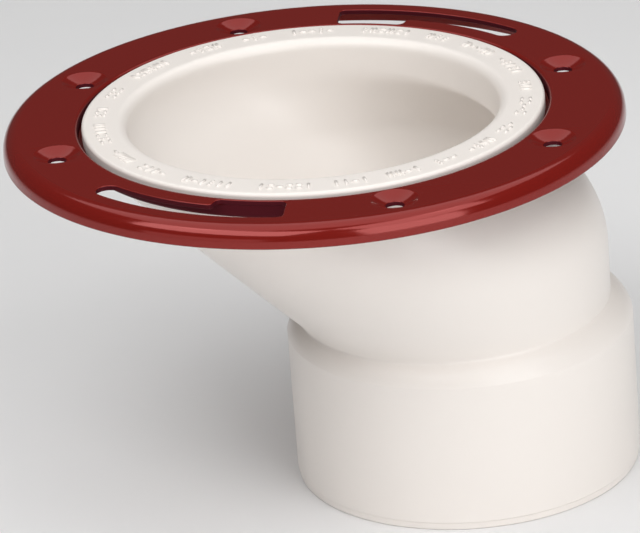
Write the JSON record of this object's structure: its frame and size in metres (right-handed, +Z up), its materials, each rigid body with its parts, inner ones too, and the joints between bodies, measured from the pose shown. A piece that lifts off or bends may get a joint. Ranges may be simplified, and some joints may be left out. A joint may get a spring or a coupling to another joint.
{
  "type": "toilet flange",
  "caption": "Offset closet flange: a plastic bowl and slanted neck over a pipe hub, with a painted steel floor ring that swivels under its lip.",
  "frame": {"origin": "on the swivel ring's axis, at the level of the pipe hub's lower end", "axes": "+Z up along the swivel axis, +X from the swivel axis towards the pipe hub"},
  "size_m": [0.1794, 0.1794, 0.1143],
  "materials": {
    "white_moulding": "smooth, softly glossy moulded white plastic",
    "ring_paint": "glossy dark red paint on pressed steel"
  },
  "bodies": {
    "flange_body": {"closet_collar": "white_moulding", "offset_neck": "white_moulding", "pipe_hub": "white_moulding"},
    "floor_ring": {"swivel_ring": "ring_paint"}
  },
  "joints": [
    {"name": "ring_swivel", "type": "hinge", "parent": "flange_body", "child": "floor_ring", "pos_m": [0, 0, 0.11], "axis": [0, 0, 1], "continuous": true}
  ]
}
